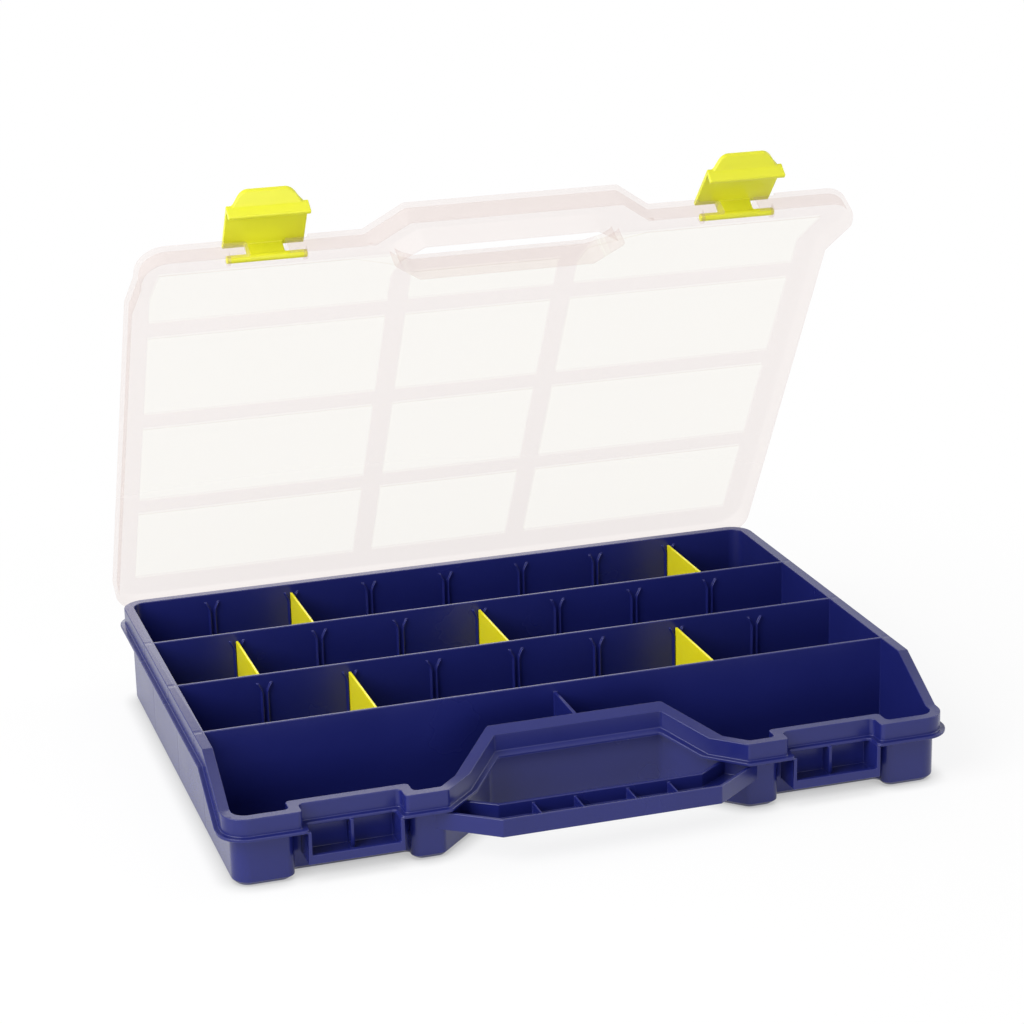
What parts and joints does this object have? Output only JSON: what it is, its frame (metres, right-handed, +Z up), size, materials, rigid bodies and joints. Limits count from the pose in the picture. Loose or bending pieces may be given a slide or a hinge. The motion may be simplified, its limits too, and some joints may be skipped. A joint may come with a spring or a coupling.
{
  "type": "assortment case",
  "caption": "Flat carrying case for small parts: compartment tray with loose dividers, clear hinged lid, snap latches and a carrying handle split between tray and lid.",
  "frame": {"origin": "on the tray's underside plane, below the middle row wall, halfway across the width", "axes": "+X to the right seen from the handle, +Y from the handle towards the hinges, +Z up"},
  "size_m": [0.3778, 0.304, 0.309],
  "materials": {
    "tray_blue": "satin moulded",
    "lid_clear": "clear moulded",
    "latch_yellow": "satin moulded",
    "divider_yellow": "satin moulded"
  },
  "bodies": {
    "tray": {"tray": "tray_blue"},
    "lid": {"lid": "lid_clear"},
    "latch_left": {"latch_left": "latch_yellow"},
    "latch_right": {"latch_right": "latch_yellow"},
    "divider_row1_slot2": {"divider_row1_slot2": "divider_yellow"},
    "divider_row1_slot7": {"divider_row1_slot7": "divider_yellow"},
    "divider_row2_slot1": {"divider_row2_slot1": "divider_yellow"},
    "divider_row2_slot4": {"divider_row2_slot4": "divider_yellow"},
    "divider_row3_slot2": {"divider_row3_slot2": "divider_yellow"},
    "divider_row3_slot6": {"divider_row3_slot6": "divider_yellow"}
  },
  "joints": [
    {"name": "lid_hinge", "type": "hinge", "parent": "tray", "child": "lid", "pos_m": [0, 0.141, 0.044], "axis": [-1, 0, 0], "range_deg": [-60, 50]},
    {"name": "latch_left_hinge", "type": "hinge", "parent": "lid", "child": "latch_left", "pos_m": [-0.124, -0.00359, 0.27344], "axis": [-1, 0, 0], "range_deg": [-85, 15]},
    {"name": "latch_right_hinge", "type": "hinge", "parent": "lid", "child": "latch_right", "pos_m": [0.124, -0.00359, 0.27344], "axis": [-1, 0, 0], "range_deg": [-77.5, 22.5]},
    {"name": "divider_row1_slot2_lift", "type": "slide", "parent": "tray", "child": "divider_row1_slot2", "axis": [0, 0, 1], "range_m": [0, 0.028]},
    {"name": "divider_row1_slot7_lift", "type": "slide", "parent": "tray", "child": "divider_row1_slot7", "axis": [0, 0, 1], "range_m": [0, 0.028]},
    {"name": "divider_row2_slot1_lift", "type": "slide", "parent": "tray", "child": "divider_row2_slot1", "axis": [0, 0, 1], "range_m": [0, 0.05]},
    {"name": "divider_row2_slot4_lift", "type": "slide", "parent": "tray", "child": "divider_row2_slot4", "axis": [0, 0, 1], "range_m": [0, 0.05]},
    {"name": "divider_row3_slot2_lift", "type": "slide", "parent": "tray", "child": "divider_row3_slot2", "axis": [0, 0, 1], "range_m": [0, 0.05]},
    {"name": "divider_row3_slot6_lift", "type": "slide", "parent": "tray", "child": "divider_row3_slot6", "axis": [0, 0, 1], "range_m": [0, 0.05]}
  ]
}
